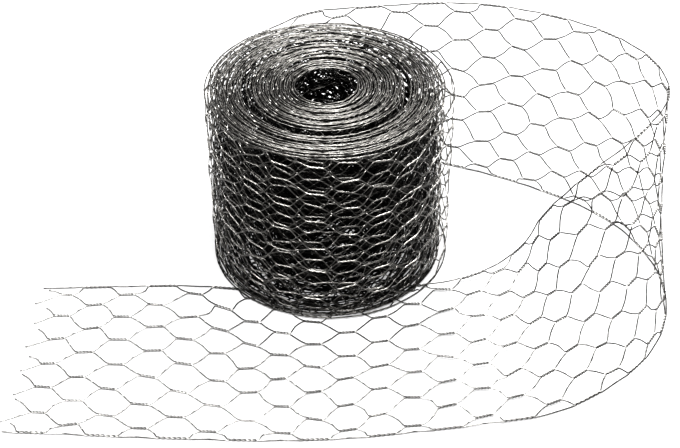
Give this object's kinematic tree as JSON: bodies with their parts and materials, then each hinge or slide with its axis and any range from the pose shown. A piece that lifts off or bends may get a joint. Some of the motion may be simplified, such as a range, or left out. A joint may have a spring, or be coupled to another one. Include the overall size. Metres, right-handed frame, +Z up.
{
  "type": "roll of chicken wire",
  "caption": "Small roll of hexagonal wire netting standing on end, its loose end led round and laid flat in front of it.",
  "frame": {"origin": "on the roll's axis at the floor, in the lower mouth of its bore", "axes": "+Z up along the roll's axis; +X to the side that the loose strip swings out to, along the strip laid on the floor; -Y towards that laid strip"},
  "size_m": [0.4971, 0.3398, 0.1521],
  "materials": {
    "steel_wire": "dark drawn steel wire, slightly weathered"
  },
  "bodies": {
    "root": {"netting": "steel_wire"}
  },
  "joints": []
}
